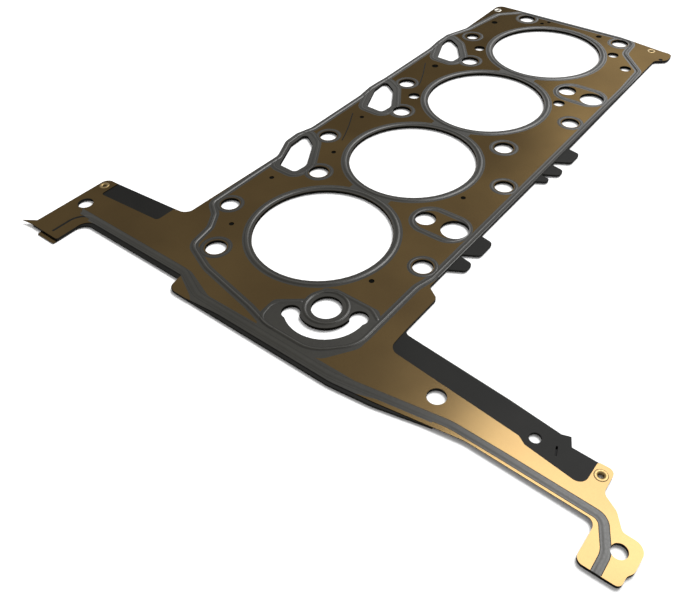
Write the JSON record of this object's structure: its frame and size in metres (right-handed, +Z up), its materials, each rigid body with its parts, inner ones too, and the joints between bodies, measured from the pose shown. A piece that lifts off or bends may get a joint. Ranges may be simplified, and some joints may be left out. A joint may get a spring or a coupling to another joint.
{
  "type": "cylinder head gasket",
  "caption": "Flat layered steel head gasket: a row of large round bores with raised beads, bolt and fluid holes, slanted ports, and an arm out to each side at the front.",
  "frame": {"origin": "centre of the front cylinder bore, on the flat underside of the lower sheet", "axes": "+X along the cylinder row to the rear, +Y to the left side of the engine, +Z up to the head"},
  "size_m": [0.4415, 0.3886, 0.0026],
  "materials": {
    "coated_sheet": "satin",
    "black_carrier": "matte",
    "brass_rivet": "satin",
    "plated_rivet": "satin"
  },
  "bodies": {
    "root": {"upper_sheet": "coated_sheet", "carrier_sheet": "black_carrier", "lower_sheet": "coated_sheet", "eyelet_right_arm": "brass_rivet", "eyelet_left_arm": "plated_rivet", "rivet_far_left": "plated_rivet", "rivet_far_right": "plated_rivet"}
  },
  "joints": []
}
